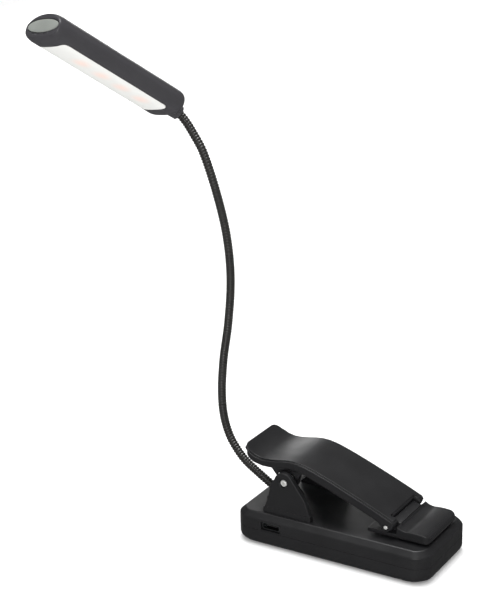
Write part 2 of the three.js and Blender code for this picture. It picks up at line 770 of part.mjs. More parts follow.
function touchShape(grow, minX, maxX) {
  const geometry = new THREE.CylinderGeometry(1, 1, maxX - minX, 32);
  geometry.rotateZ(Math.PI / 2);
  geometry.scale(1, touch.halfWidth + grow, touch.halfHeight + grow);
  geometry.translate((minX + maxX) / 2, 0, touch.rise);
  return solid(geometry);
}

function diffuser() {
  const skin = cut(headBody(0), headBody(diffuserThickness));
  const pane = box(
    windowCut.start + GAP,
    windowCut.end - GAP,
    -windowCut.halfWidth + GAP,
    windowCut.halfWidth - GAP,
    -20,
    -head.front / 2 - GAP,
  );
  return skin.intersect(pane);
}

function headCollar() {
  const outer = barAlong(collarPoint, collarWay, 0, collar.length + 3, collar.freeRadius, collar.topRadius);
  return cut(outer, headBody(-GAP), neckPassage(GAP));
}

function neckNut() {
  const along = neckEndPoint.clone().sub(neckEndBack).normalize();
  const ring = barAlong(neckEndPoint, along, -collar.nutLength, 0, collar.nutRadius, collar.nutRadius, 6);
  return cut(ring, neckPassage(GAP));
}

// ---------------------------------------------------------------- assembly

const group = new THREE.Group();
group.name = "clip_on_reading_lamp";
const add = (...args) => group.add(piece(...args));

add("base_top_shell", baseTopShell(), blackPlastic);
add("base_bottom_tray", baseBottomTray(), blackPlastic);
screwSpots.forEach((spot, i) => add(`cover_screw_${i + 1}`, coverScrew(spot), brightSteel));
add("battery_cell", batteryCell(), foilSilver);
add("charge_board", box(board.minX, board.maxX, boardMinY, board.maxY, boardBottom, boardTop), boardGreen);
add("charge_chip", box(usb.x - 4, usb.x + 1, -9, -4.5, boardTop + GAP, boardTop + GAP + 1.2), chipBlack);
add("usb_shell", usbShell(), brightSteel);
add("usb_tongue", usbTongue(), chipBlack);
add("battery_lead_red", batteryLead(-2), wireRed);
add("battery_lead_black", batteryLead(2), wireBlack);
add("neck_ferrule", neckFerrule(), brass);
add("clip_lever", clipLever(), blackPlastic);
add("pivot_rivet", pivotRivet(), brightSteel);
add("torsion_spring", tube(new SpringCurve(), spring.wireRadius, 6, 190), brightSteel);
add("jaw_plate", jawPlate(), blackPlastic);
add("jaw_grip", jawGrip(), rubberBlack);
const jawPinHalf = lever.halfWidth;
add("jaw_pin", barY(jawPinRadius, -jawPinHalf, jawPinHalf, jawAxis.x, jawAxis.z, 16), brightSteel);

add("neck_root", neckStretch(0, neckJoints[0], true), blackMetal);
for (let i = 0; i + 1 < neckJoints.length; i += 1) {
  const stretch = neckStretch(neckJoints[i] + pastBall, neckJoints[i + 1], true);
  add(`neck_stretch_${i + 1}`, stretch, blackMetal);
}
add("neck_tip", neckStretch(neckTipStart, neckLength, false), blackMetal);

const addHead = (...args) => headGroup.add(piece(...args));
addHead("head_shell", headShell(), headPlastic);
addHead("diffuser", diffuser(), frosted);
addHead("head_collar", headCollar(), headPlastic);
addHead("neck_nut", neckNut(), brass);
addHead("touch_pad", touchShape(0, head.length - touch.thickness, head.length + 0.1), touchSilver);
const contactStart = ledBoard.end + GAP;
const contactEnd = head.length - touch.thickness - GAP;
addHead("touch_contact", barX(touch.contactRadius, contactStart, contactEnd, touch.rise), brass);
const ledBoardBottom = ledBoard.top - ledBoard.thickness;
const boardHalf = ledBoard.halfWidth;
addHead(
  "led_board",
  box(ledBoard.start, ledBoard.end, -boardHalf, boardHalf, ledBoardBottom, ledBoard.top),
  boardGreen,
);
for (let i = 0; i < led.count; i += 1) {
  const x = led.first + i * ledPitch;
  const top = ledBoardBottom - GAP;
  const chip = box(x - led.length / 2, x + led.length / 2, -led.width / 2, led.width / 2, top - led.height, top);
  addHead(`led_${i + 1}`, chip, ledYellow);
}
group.add(headGroup);

export default group;
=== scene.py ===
# %% [markdown]
# Clip-on reading lamp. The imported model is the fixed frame: every piece made here is placed by
# it, in metres, and rides on one of its bodies. The first cell loads it and keeps its box.

# %% Load the frame
import json
import math

import bmesh
import bpy
import numpy as np
from mathutils import Matrix, Vector
from mathutils.bvhtree import BVHTree


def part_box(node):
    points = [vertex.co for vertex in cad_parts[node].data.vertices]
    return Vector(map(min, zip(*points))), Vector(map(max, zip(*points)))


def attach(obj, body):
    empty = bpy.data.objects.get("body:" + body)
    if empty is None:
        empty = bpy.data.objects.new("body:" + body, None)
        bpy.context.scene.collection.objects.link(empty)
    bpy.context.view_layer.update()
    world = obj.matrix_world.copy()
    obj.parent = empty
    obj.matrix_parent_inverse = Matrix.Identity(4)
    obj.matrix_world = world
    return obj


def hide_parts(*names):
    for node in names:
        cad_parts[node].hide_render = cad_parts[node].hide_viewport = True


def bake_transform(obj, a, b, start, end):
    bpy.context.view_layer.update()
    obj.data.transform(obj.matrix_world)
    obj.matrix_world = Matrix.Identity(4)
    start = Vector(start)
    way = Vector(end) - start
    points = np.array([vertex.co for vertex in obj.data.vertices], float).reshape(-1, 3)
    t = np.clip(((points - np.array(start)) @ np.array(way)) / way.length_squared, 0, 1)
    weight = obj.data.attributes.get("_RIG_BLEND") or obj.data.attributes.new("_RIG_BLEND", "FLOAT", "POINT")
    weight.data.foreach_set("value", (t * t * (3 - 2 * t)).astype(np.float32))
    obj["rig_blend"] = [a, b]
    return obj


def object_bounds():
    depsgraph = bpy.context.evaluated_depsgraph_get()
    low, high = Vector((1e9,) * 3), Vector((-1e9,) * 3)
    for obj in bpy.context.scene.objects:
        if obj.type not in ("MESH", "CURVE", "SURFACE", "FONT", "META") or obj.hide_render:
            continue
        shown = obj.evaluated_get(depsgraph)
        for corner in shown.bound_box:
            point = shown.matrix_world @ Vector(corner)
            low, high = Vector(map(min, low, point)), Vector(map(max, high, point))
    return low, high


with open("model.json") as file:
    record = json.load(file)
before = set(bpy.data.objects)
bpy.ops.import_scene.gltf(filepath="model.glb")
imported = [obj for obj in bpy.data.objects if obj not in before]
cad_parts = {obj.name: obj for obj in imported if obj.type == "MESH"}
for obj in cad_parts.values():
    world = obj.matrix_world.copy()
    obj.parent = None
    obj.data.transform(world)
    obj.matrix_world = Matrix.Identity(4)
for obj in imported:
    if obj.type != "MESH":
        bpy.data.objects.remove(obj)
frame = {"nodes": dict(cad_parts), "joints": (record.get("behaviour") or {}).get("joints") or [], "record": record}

cad_low, cad_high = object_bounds()
nodes = frame["nodes"]
joints = {joint["name"]: joint for joint in frame["joints"]}
MM = 0.001
print("object box, mm:", [round(v / MM, 1) for v in (cad_high - cad_low)])


# %% [markdown]
# A product shot is taken with a long lens from a little above. The camera is turned by three
# angles: round the object, down towards it, and a slight roll.

# %% Camera
def camera_turn(yaw, pitch, roll):
    """Rotation of a camera that looks along +Y at yaw 0 and is turned left, then down, then rolled."""
    forward = Vector((-math.sin(yaw) * math.cos(pitch), math.cos(yaw) * math.cos(pitch), -math.sin(pitch)))
    level = Vector((math.cos(yaw), math.sin(yaw), 0))
    upright = level.cross(forward)
    right = level * math.cos(roll) + upright * math.sin(roll)
    up = upright * math.cos(roll) - level * math.sin(roll)
    return Matrix((right, up, -forward)).transposed().to_4x4()


scene = bpy.context.scene
camera = bpy.data.objects.new("camera", bpy.data.cameras.new("camera"))
camera.data.lens = 97.04
camera.data.sensor_width = 36
camera.data.clip_start = 0.01
camera.matrix_world = camera_turn(math.radians(31.68), math.radians(19.39), math.radians(-1.33))
camera.location = (0.27265, -0.51680, 0.30955)
scene.collection.objects.link(camera)
scene.camera = camera
print("camera distance, mm:", round(camera.location.length / MM))

# %% [markdown]
# The lamp stands on a white sweep. A light behind it draws the highlight on the lever, one overhead
# lights the tops, two in front fill the sides, and the world lights what is left.


# %% Studio
def add(tree, kind, inputs=None, **settings):
    """Adds one node. A value in inputs is a number or a socket to link from."""
    node = tree.nodes.new(kind)
    for key, value in settings.items():
        setattr(node, key, value)
    for key, value in (inputs or {}).items():
        if isinstance(value, bpy.types.NodeSocket):
            tree.links.new(value, node.inputs[key])
        else:
            node.inputs[key].default_value = value
    return node


def calc(tree, operation, *values):
    """The result of one arithmetic node."""
    return add(tree, "ShaderNodeMath", dict(enumerate(values)), operation=operation).outputs[0]


def area_light(name, place, target, size, power):
    """A square soft light at place, facing target."""
    light = bpy.data.lights.new(name, "AREA")
    light.size = size
    light.energy = power
    lamp = bpy.data.objects.new(name, light)
    lamp.location = place
    lamp.rotation_euler = (Vector(target) - Vector(place)).to_track_quat("-Z", "Y").to_euler()
    scene.collection.objects.link(lamp)


middle = (cad_low + cad_high) / 2
area_light("back_strip", (-0.75, 1.05, 0.22), (-0.02, 0, 0.05), 0.42, 1.8)
area_light("overhead", (-0.10, 0.10, 1.10), middle, 0.45, 9)
area_light("front_fill", (0.55, -1.1, 0.55), middle, 0.5, 5)
area_light("low_fill", (0.25, -0.9, 0.10), (-0.01, 0, 0.02), 0.3, 1.2)
scene.view_settings.view_transform = "Standard"
scene.world = bpy.data.worlds.new("studio")
scene.world.use_nodes = True
sky = scene.world.node_tree


def new_object(name, data):
    """Puts a mesh or a curve in the scene, at the origin."""
    obj = bpy.data.objects.new(name, data)
    scene.collection.objects.link(obj)
    return obj


def solid(name, verts, faces, smooth=False):
    """A mesh object from its points and faces."""
    mesh = bpy.data.meshes.new(name)
    mesh.from_pydata(verts, [], faces)
    mesh.polygons.foreach_set("use_smooth", [smooth] * len(faces))
    return new_object(name, mesh)


def sweep(half, back, height, bend):
    """A floor that rises in a bend into a back wall."""
    profile = [(-half, 0.0), (back - bend, 0.0)]
    for step in range(1, 13):
        angle = step / 12 * math.pi / 2
        profile.append((back - bend + bend * math.sin(angle), bend - bend * math.cos(angle)))
    profile.append((back, height))
    verts = [(x, y, z) for y, z in profile for x in (-half, half)]
    faces = [(2 * i, 2 * i + 1, 2 * i + 3, 2 * i + 2) for i in range(len(profile) - 1)]
    return solid("floor", verts, faces, smooth=True)


# the white room lights everything evenly, but what glossy plastic mirrors is a darker room
path = add(sky, "ShaderNodeLightPath")
level = add(sky, "ShaderNodeMapRange", {"Value": path.outputs["Is Glossy Ray"], "To Min": 0.9,
                                        "To Max": 0.13})
sky.links.new(level.outputs["Result"], sky.nodes["Background"].inputs["Strength"])
sky.nodes["Background"].inputs["Color"].default_value = (1, 1, 1, 1)
floor = sweep(half=3.0, back=1.6, height=3.0, bend=0.8)
floor_gap = 0.05 * MM
floor.location.z = cad_low.z - floor_gap
floor.visible_glossy = False  # black plastic in a studio sees dark flags beside it, not the paper
print("floor height, mm:", round(floor.location.z / MM, 3))

# %% [markdown]
# Every finish is built from nodes. Colours are given as the hex codes that a picture editor shows
# and turned to linear light once. One function adds a node, with its settings and its links.


# %% Material helpers
def linear(hex_code):
    """sRGB hex to linear RGBA."""
    parts = [int(hex_code[i : i + 2], 16) / 255 for i in (1, 3, 5)]
    return tuple(c / 12.92 if c <= 0.04045 else ((c + 0.055) / 1.055) ** 2.4 for c in parts) + (1.0,)


def new_material(name):
    """An empty node material, its tree and its shader."""
    material = bpy.data.materials.new(name)
    material.use_nodes = True
    tree = material.node_tree
    return material, tree, tree.nodes["Principled BSDF"]


moulded_spread = 0.07  # how far moulded plastic's roughness strays either way


def moulded(name, low, high, roughness, grain_mm=0.35, grain_depth=0.02, coat=0.0):
    """Moulded plastic: a spark-eroded mould leaves a fine even grain, and flow makes slow patches."""
    material, tree, shader = new_material(name)
    where = add(tree, "ShaderNodeTexCoord").outputs["Object"]
    patches = add(tree, "ShaderNodeTexNoise", {"Vector": where, "Scale": 1 / (14 * MM), "Detail": 3.0})
    tone = add(tree, "ShaderNodeMix", {"Factor": patches.outputs["Fac"]}, data_type="RGBA")
    # sockets of a colour mix are numbered, since its names repeat for each kind of value
    tone.inputs[6].default_value = linear(low)
    tone.inputs[7].default_value = linear(high)
    tree.links.new(tone.outputs[2], shader.inputs["Base Color"])
    grain = add(tree, "ShaderNodeTexNoise", {"Vector": where, "Scale": 1 / (grain_mm * MM), "Detail": 2.0})
    rub = add(tree, "ShaderNodeMapRange", {"Value": patches.outputs["Fac"], "From Min": 0.3,
                                           "From Max": 0.7, "To Min": roughness - moulded_spread,
                                           "To Max": roughness + moulded_spread})
    tree.links.new(rub.outputs["Result"], shader.inputs["Roughness"])
    bump = add(tree, "ShaderNodeBump", {"Height": grain.outputs["Fac"], "Distance": grain_depth * MM,
                                        "Strength": 0.6})
    tree.links.new(bump.outputs["Normal"], shader.inputs["Normal"])
    shader.inputs["IOR"].default_value = 1.5
    shader.inputs["Coat Weight"].default_value = coat
    return material


def metal(name, low, high, roughness, scratch_mm=0.25, metallic=1.0):
    """Plated or drawn metal: bright, with fine rubbing marks that change its roughness."""
    material, tree, shader = new_material(name)
    where = add(tree, "ShaderNodeTexCoord").outputs["Object"]
    marks = add(tree, "ShaderNodeTexNoise", {"Vector": where, "Scale": 1 / (scratch_mm * MM),
                                             "Detail": 4.0})
    tone = add(tree, "ShaderNodeMix", {"Factor": marks.outputs["Fac"]}, data_type="RGBA")
    tone.inputs[6].default_value = linear(low)
    tone.inputs[7].default_value = linear(high)
    tree.links.new(tone.outputs[2], shader.inputs["Base Color"])
    rub = add(tree, "ShaderNodeMapRange", {"Value": marks.outputs["Fac"], "To Min": roughness - 0.08,
                                           "To Max": roughness + 0.12})
    tree.links.new(rub.outputs["Result"], shader.inputs["Roughness"])
    shader.inputs["Metallic"].default_value = metallic
    return material


def frosted(name, plain, warm, first, along, across, pitch, count):
    """Frosted pane over a row of lights: each light shows as a soft warm patch behind it."""
    material = moulded(name, plain, plain, roughness=0.38, grain_depth=0.01)
    tree = material.node_tree
    where = add(tree, "ShaderNodeTexCoord").outputs["Object"]
    from_first = add(tree, "ShaderNodeVectorMath", {0: where, 1: first}, operation="SUBTRACT")
    run = add(tree, "ShaderNodeVectorMath", {0: from_first.outputs[0], 1: along}, operation="DOT_PRODUCT")
    side = add(tree, "ShaderNodeVectorMath", {0: from_first.outputs[0], 1: across}, operation="DOT_PRODUCT")
    steps = calc(tree, "DIVIDE", run.outputs["Value"], pitch)
    kept = add(tree, "ShaderNodeClamp", {"Value": calc(tree, "ROUND", steps), "Min": 0, "Max": count - 1})
    off = calc(tree, "SUBTRACT", steps, kept.outputs["Result"])
    off_across = calc(tree, "DIVIDE", side.outputs["Value"], pitch)
    spot = add(tree, "ShaderNodeCombineXYZ", {"X": off, "Y": off_across})
    far = add(tree, "ShaderNodeVectorMath", {0: spot.outputs[0]}, operation="LENGTH")
    glow = add(tree, "ShaderNodeMapRange", {"Value": far.outputs["Value"], "From Min": 0.5, "From Max": 0.0,
                                            "To Min": 0.0, "To Max": 1.0}, interpolation_type="SMOOTHSTEP")
    tone = add(tree, "ShaderNodeMix", {"Factor": glow.outputs["Result"]}, data_type="RGBA")
    tone.inputs[6].default_value = linear(plain)
    tone.inputs[7].default_value = linear(warm)
    tree.links.new(tone.outputs[2], tree.nodes["Principled BSDF"].inputs["Base Color"])
    return material


def led_centre(number):
    """Middle of one of the head's lights."""
    low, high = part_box(f"led_{number}")
    return (low + high) / 2


head_x = (led_centre(8) - led_centre(1)).normalized()
head_y = Vector(joints["head_nod"]["axis"])
head_z = head_x.cross(head_y).normalized()
head_y = head_z.cross(head_x)
glow_along = 6.6 * MM
glow_across = 2.0 * MM
glow_first = led_centre(1) + head_x * glow_along + head_y * glow_across


finishes = {
    "black_abs": moulded("black_moulded_abs", "#161617", "#1c1c1e", roughness=0.42),
    "head_abs": moulded("grey_moulded_abs", "#353437", "#3b3a3d", roughness=0.36),
    "zinc_steel": metal("zinc_plated_steel", "#a9adb0", "#c3c5c6", roughness=0.35),
    "bright_steel": metal("nickel_plated_steel", "#d0d0ce", "#e2e2e0", roughness=0.3, metallic=0.5),
    "spring_steel": metal("drawn_spring_steel", "#a6a6a6", "#c2c2c2", roughness=0.28, metallic=0.8),
    # painted shade: the tin plating is drawn darker than bare tin, to stand for the shadow in the charging
    # socket's recess
    "tin_plated_steel": metal("tin_plated_steel", "#7d8183", "#939798", roughness=0.3),
    "black_nylon": moulded("black_nylon", "#131314", "#19191a", roughness=0.55),
    "battery_foil": metal("aluminium_pouch_foil", "#b0b4b8", "#c8cbce", roughness=0.38, scratch_mm=1.5),
    "circuit_board": moulded("green_solder_mask", "#12522c", "#1a6236", roughness=0.38, grain_mm=0.8),
    "black_epoxy": moulded("black_epoxy", "#151516", "#1c1c1d", roughness=0.6, grain_mm=0.15),
    "red_pvc": moulded("red_pvc_insulation", "#a01e1c", "#b82a26", roughness=0.4),
    "black_pvc": moulded("black_pvc_insulation", "#141415", "#1b1b1c", roughness=0.4),
    "plated_brass": metal("nickel_brass", "#b39a5c", "#cdb676", roughness=0.3),
    "black_rubber": moulded("black_silicone_rubber", "#121213", "#1a1a1b", roughness=0.85, grain_mm=0.2),
    "satin_silver_plastic": moulded("silver_painted_abs", "#6f726e", "#8d918c", roughness=0.4, grain_mm=0.6,
                                    grain_depth=0.06),
    "black_wound_steel": moulded("black_coated_wound_steel", "#1f1e1d", "#2b2a28", roughness=0.27,
                                 coat=0.3),
    "led_package": moulded("phosphor_led_package", "#d8c26a", "#e6d486", roughness=0.35),
    "frosted_acrylic": frosted("frosted_acrylic", "#d3d3d0", "#e0cbc2", glow_first, head_x, head_y,
                               pitch=10.5 * MM, count=4),
    "sweep": moulded("white_paper_sweep", "#f6f6f6", "#fafafa", roughness=0.9, grain_mm=4),
}
floor.data.materials.append(finishes["sweep"])
slot_of = {part["node"]: part["material_slot"] for part in frame["record"]["subparts"]}
for name, obj in nodes.items():
    obj.data.materials.clear()
    obj.data.materials.append(finishes[slot_of[name]])
print("finishes:", len(finishes))

# %% [markdown]
# A moulded part has no knife edge: the mould tool rounds every corner by a few tenths of a
# millimetre, and those roundings catch the light. Each hard shell is a merged copy of its node whose
# sharp edges get a narrow bevel.


# %% Rounded shells
def merged_copy(node):
    """The node's mesh with its loose triangles joined and its flat faces made whole."""
    mesh = bmesh.new()
    mesh.from_mesh(nodes[node].data)
    bmesh.ops.remove_doubles(mesh, verts=mesh.verts, dist=0.002 * MM)
    bmesh.ops.dissolve_limit(mesh, angle_limit=math.radians(0.6), verts=mesh.verts, edges=mesh.edges)
    return mesh


def finished(obj):
    """Applies the modifiers and leaves a plain mesh."""
    mesh = bpy.data.meshes.new_from_object(obj.evaluated_get(bpy.context.evaluated_depsgraph_get()))
    obj.modifiers.clear()
    obj.data = mesh
    mesh.name = obj.name
    return obj


def rounded_shell(node, name, width, sharp=28):
    """A copy of a node whose edges over the sharp angle are rounded."""
    copy = merged_copy(node)
    weight = copy.edges.layers.float.new("bevel_weight_edge")
    rounded = 0
    for edge in copy.edges:
        if len(edge.link_faces) == 2 and edge.calc_face_angle(0) > math.radians(sharp):
            edge[weight] = 1.0
            rounded += 1
    mesh = bpy.data.meshes.new(name)
    copy.to_mesh(mesh)
    copy.free()
    mesh.polygons.foreach_set("use_smooth", [True] * len(mesh.polygons))
    mesh.set_sharp_from_angle(angle=math.radians(sharp))
    mesh.materials.append(finishes[slot_of[node]])
    obj = new_object(name, mesh)
    bevel = obj.modifiers.new("rounding", "BEVEL")
    bevel.limit_method = "WEIGHT"
    bevel.width = width
    bevel.segments = 3
    bevel.use_clamp_overlap = False
    bevel.harden_normals = True
    bevel.miter_outer = "MITER_ARC"
    finished(obj)
    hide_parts(node)
    print(name, "edges rounded:", rounded, "faces:", len(obj.data.polygons))
    return obj


lever = rounded_shell("clip_lever", "lever_shell", width=0.3 * MM)
jaw = rounded_shell("jaw_plate", "jaw_shell", width=0.25 * MM)
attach(lever, "lever")
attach(jaw, "jaw")

# %% [markdown]
# The other shells are drawn here: walls through stacked outlines, turned parts and prisms. They
# share these steps: give a wall, cut, round the sharp edges, and hand the piece to the frame.


# %% Shaping steps
def band_faces(rows, count, first=0, gap=None):
    """Faces between closed rows of count points, from the point first. gap is a (row, place) left open."""
    faces = []
    for row in range(rows - 1):
        for i in range(count):
            a, b, k = first + row * count, first + (row + 1) * count, (i + 1) % count
            if (row, i) != gap:
                faces.append((a + i, a + k, b + k, b + i))
    return faces


def walls(name, rings, closed_end, open_cell=None):
    """Walls between rings, with a flat face over the first or the last one."""
    count = len(rings[0])
    faces = band_faces(len(rings), count, gap=open_cell)
    end_ring = range((len(rings) - 1) * count, len(rings) * count)
    faces.append(tuple(end_ring) if closed_end == "top" else tuple(range(count))[::-1])
    return solid(name, [point for ring in rings for point in ring], faces)


def thickened(obj, thickness):
    """Gives a single skin its wall, towards the inside."""
    shell = obj.modifiers.new("wall", "SOLIDIFY")
    shell.thickness = thickness
    shell.offset = -1
    return finished(obj)


def weighted_bevel(obj, width, weight_of=None, steps=3, sharp=28):
    """Rounds edges over the sharp angle by width, times weight_of(edge's middle) if that is given."""
    mesh = bmesh.new()
    mesh.from_mesh(obj.data)
    bmesh.ops.recalc_face_normals(mesh, faces=mesh.faces)
    weight = mesh.edges.layers.float.new("bevel_weight_edge")
    for edge in mesh.edges:
        if len(edge.link_faces) == 2 and edge.calc_face_angle(0) > math.radians(sharp):
            edge[weight] = weight_of((edge.verts[0].co + edge.verts[1].co) / 2) if weight_of else 1.0
    mesh.to_mesh(obj.data)
    mesh.free()
    obj.data.polygons.foreach_set("use_smooth", [True] * len(obj.data.polygons))
    obj.data.set_sharp_from_angle(angle=math.radians(sharp))
    bevel = obj.modifiers.new("rounding", "BEVEL")
    bevel.limit_method = "WEIGHT"
    bevel.width = width
    bevel.segments = steps
    bevel.use_clamp_overlap = False
    bevel.harden_normals = True
    return finished(obj)


def dressed(obj, slot_name, body, *replaced):
    """Gives a finished piece the finish of a slot and its body, and hides the nodes that it stands for."""
    obj.data.materials.clear()
    obj.data.materials.append(finishes[slot_name])
    if replaced:
        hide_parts(*replaced)
    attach(obj, body)
    print(obj.name, "rides on", body, "faces:", len(obj.data.polygons))
    return obj


def boolean(obj, tool, operation="DIFFERENCE"):
    """Cuts a piece with a tool, or keeps what both share, and removes the tool."""
    modifier = obj.modifiers.new("cut", "BOOLEAN")
    modifier.operation = operation
    modifier.object = tool
    modifier.solver = "EXACT"
    finished(obj)
    bpy.data.objects.remove(tool)
    return obj


def prism(name, outline, low, high, axis=2):
    """A flat outline made solid between two levels along an axis."""
    count = len(outline)
    verts = []
    for level_at in (low, high):
        for u, v in outline:
            verts.append((u, v, level_at) if axis == 2 else (level_at, u, v))
    faces = [tuple(range(count))[::-1], tuple(range(count, 2 * count))]
    return solid(name, verts, faces + band_faces(2, count))


def turned(name, profile, centre, way, sides=48):
    """A solid of revolution: (distance along way, radius) pairs, turned about the line through centre."""
    way = Vector(way).normalized()
    side = way.orthogonal().normalized()
    other = way.cross(side)
    angles = [2 * math.pi * i / sides for i in range(sides)]
    spokes = [side * math.cos(angle) + other * math.sin(angle) for angle in angles]
    verts = [Vector(centre) + way * along + spoke * radius for along, radius in profile for spoke in spokes]
    faces = band_faces(len(profile), sides) + [tuple(range(sides))[::-1]]
    faces.append(tuple(range((len(profile) - 1) * sides, len(profile) * sides)))
    obj = solid(name, verts, faces, smooth=True)
    obj.data.set_sharp_from_angle(angle=math.radians(40))
    return obj


# %% [markdown]
# The lever's pressing surface is a second, slightly smaller layer on the lever's rim, so its edge
# shows as a double line. Its height is felt from the node below by rays, then smoothed, and its
# half width shrinks on a circle at the thumb end, which rounds the two corners. Its other end has
# the lever's own notch.

# %% Lever top layer
lever_low, lever_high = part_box("clip_lever")
felt = merged_copy("clip_lever")
lever_tree = BVHTree.FromBMesh(felt)
felt.free()
rim_step = 1.0 * MM
layer_rise = 0.4 * MM
layer_depth = 1.0 * MM
corner_round = 3.2 * MM
layer_end = joints["jaw_level"]["pos_m"][0] + 3.0 * MM
layer_start = lever_low.x + 0.8 * MM
stations = 72
crowding = 0.35  # how much closer together the stations stand at the thumb end
thumb_edge = lever_low.x + 1.2 * MM
notch_half = 9.75 * MM
notch_start = joints["jaw_level"]["pos_m"][0] + 0.6 * MM


def lever_height(x):
    """Height of the lever's upper surface at one place along it."""
    hit = lever_tree.ray_cast(Vector((x, lever_high.y - 3.6 * MM, 1)), Vector((0, 0, -1)))[0]
    return hit.z


marks = []
for i in range(stations + 1):
    t = i / stations
    marks.append(layer_start + (layer_end - layer_start) * (t * t * crowding + t * (1 - crowding)))
heights = [lever_height(max(x, lever_low.x + 1.0 * MM)) for x in marks]
slope_run = 1.8 * MM
first_slope = (lever_height(thumb_edge + slope_run) - lever_height(thumb_edge)) / slope_run
for i, x in enumerate(marks):
    if x < thumb_edge:
        heights[i] = lever_height(thumb_edge) + first_slope * (x - thumb_edge)
for _ in range(12):
    evened = [(a + 2 * b + c) / 4 for a, b, c in zip(heights, heights[1:], heights[2:])]
    heights = [heights[0]] + evened + [heights[-1]]

across = 14
layer_verts, layer_faces = [], []
for x, height in zip(marks, heights):
    half = lever_high.y - rim_step
    into = corner_round - (x - layer_start)
    if into > 0:
        half -= corner_round - math.sqrt(max(corner_round**2 - into**2, 0))
    for level_z in (height + layer_rise, height + layer_rise - layer_depth):
        for j in range(across + 1):
            layer_verts.append((x, half * (2 * j / across - 1), level_z))
row = 2 * (across + 1)
for i in range(stations):
    a, b = i * row, (i + 1) * row
    for j in range(across):
        layer_faces.append((a + j, b + j, b + j + 1, a + j + 1))
        under = across + 1
        layer_faces.append((a + under + j, a + under + j + 1, b + under + j + 1, b + under + j))
    layer_faces.append((a, a + across + 1, b + across + 1, b))
    layer_faces.append((a + across, b + across, b + row - 1, a + row - 1))
for a, order in ((0, 1), (stations * row, -1)):
    for j in range(a, a + across):
        layer_faces.append((j, j + 1, j + across + 2, j + across + 1)[::order])
layer = solid("lever_layer", layer_verts, layer_faces)
notch = [(notch_start, -notch_half), (lever_high.x + MM, -notch_half), (lever_high.x + MM, notch_half),
         (notch_start, notch_half)]
boolean(layer, prism("notch", notch, 0, 100 * MM))
weighted_bevel(layer, 0.28 * MM, sharp=40)
dressed(layer, "black_abs", "lever")

# %% [markdown]
# The base is a flat box in two mouldings, a cover and a tray, which meet at a hairline seam. Its
# walls are a grid: one list of plan points, one list of heights, and a missing cell for the
# charging socket. Solidify gives the wall, and a weighted bevel keeps the seam finer than the edges.

# %% Base cover and tray
tray_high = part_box("base_bottom_tray")[1]
usb_low, usb_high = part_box("usb_shell")
base_corner = 4.2 * MM
roof_z = 13.5 * MM
seam_z = 6.6 * MM
wall = 1.8 * MM
socket_gap = 0.3 * MM
corner_steps = 5
bottom_round = 2.8 * MM
corner_ease = 0.55
edge_rounding = 0.4 * MM


def plan_ring(inset, z, soften=0.0):
    """The base's eight-sided plan at one height, its corners eased, with a stop each side of the socket."""
    half_x = tray_high.x - inset
    half_y = tray_high.y - inset
    corner = base_corner - inset * (2 - math.sqrt(2)) + soften
    quarter = [(half_x - corner, -half_y), (half_x, corner - half_y)]
    other = [(half_x, half_y - corner), (half_x - corner, half_y)]
    plan = [(corner - half_x, -half_y)] + quarter + other
    plan += [(corner - half_x, half_y), (-half_x, half_y - corner), (-half_x, corner - half_y)]
    ring = []
    for i, tip in enumerate(plan):
        tip = Vector(tip)
        before = tip + (Vector(plan[i - 1]) - tip).normalized() * corner * corner_ease
        after = tip + (Vector(plan[(i + 1) % len(plan)]) - tip).normalized() * corner * corner_ease
        for step in range(corner_steps + 1):
            t = step / corner_steps
            spot = before * (1 - t) ** 2 + tip * 2 * t * (1 - t) + after * t**2
            ring.append((spot.x, spot.y, z))
        if i == 0:
            ring += [(x, -half_y, z) for x in (usb_low.x - socket_gap, usb_high.x + socket_gap)]
    return ring


hairline = 0.03 * MM
chamfer_down = 2.15 * MM
chamfer_in = 2.25 * MM
cover_levels = (seam_z + hairline, usb_low.z - socket_gap, usb_high.z + socket_gap, roof_z - chamfer_down)
cover_rings = [plan_ring(0, z) for z in cover_levels] + [plan_ring(chamfer_in, roof_z)]
cover = walls("cover_shell", cover_rings, "top", open_cell=(1, corner_steps + 1))
thickened(cover, wall)


def base_rounding(point):
    """The seam's edges get a much finer rounding than the others."""
    return 0.25 if abs(point.z - seam_z) < 0.5 * MM else 1.0


weighted_bevel(cover, edge_rounding, base_rounding)
dressed(cover, "black_abs", "base", "base_top_shell")

tray_rings = []
for step in range(7):
    angle = step / 6 * math.pi / 2
    inset = bottom_round * (1 - math.sin(angle))
    tray_rings.append(plan_ring(inset, bottom_round * (1 - math.cos(angle)), soften=inset * 1.1))
tray_rings.append(plan_ring(0, seam_z - hairline))
tray = walls("tray_shell", tray_rings, "bottom")
thickened(tray, wall)

screw_boxes = [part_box(f"cover_screw_{i + 1}") for i in range(4)]
screw_radius = (screw_boxes[0][1].x - screw_boxes[0][0].x) / 2
well_radius = screw_radius + 0.3 * MM
well_depth = 2.5 * MM
for low, high in screw_boxes:
    foot = Vector(((low.x + high.x) / 2, (low.y + high.y) / 2, 0))
    well = turned("well", [(-MM, well_radius), (well_depth, well_radius)], foot, (0, 0, 1))
    boolean(tray, well)
weighted_bevel(tray, edge_rounding, base_rounding)
dressed(tray, "black_abs", "base", "base_bottom_tray")

# %% [markdown]
# Below its plate the lever has two cheeks that carry the pivot. Each gets a fuller root on the
# thumb side, where the cheek flares into the plate.

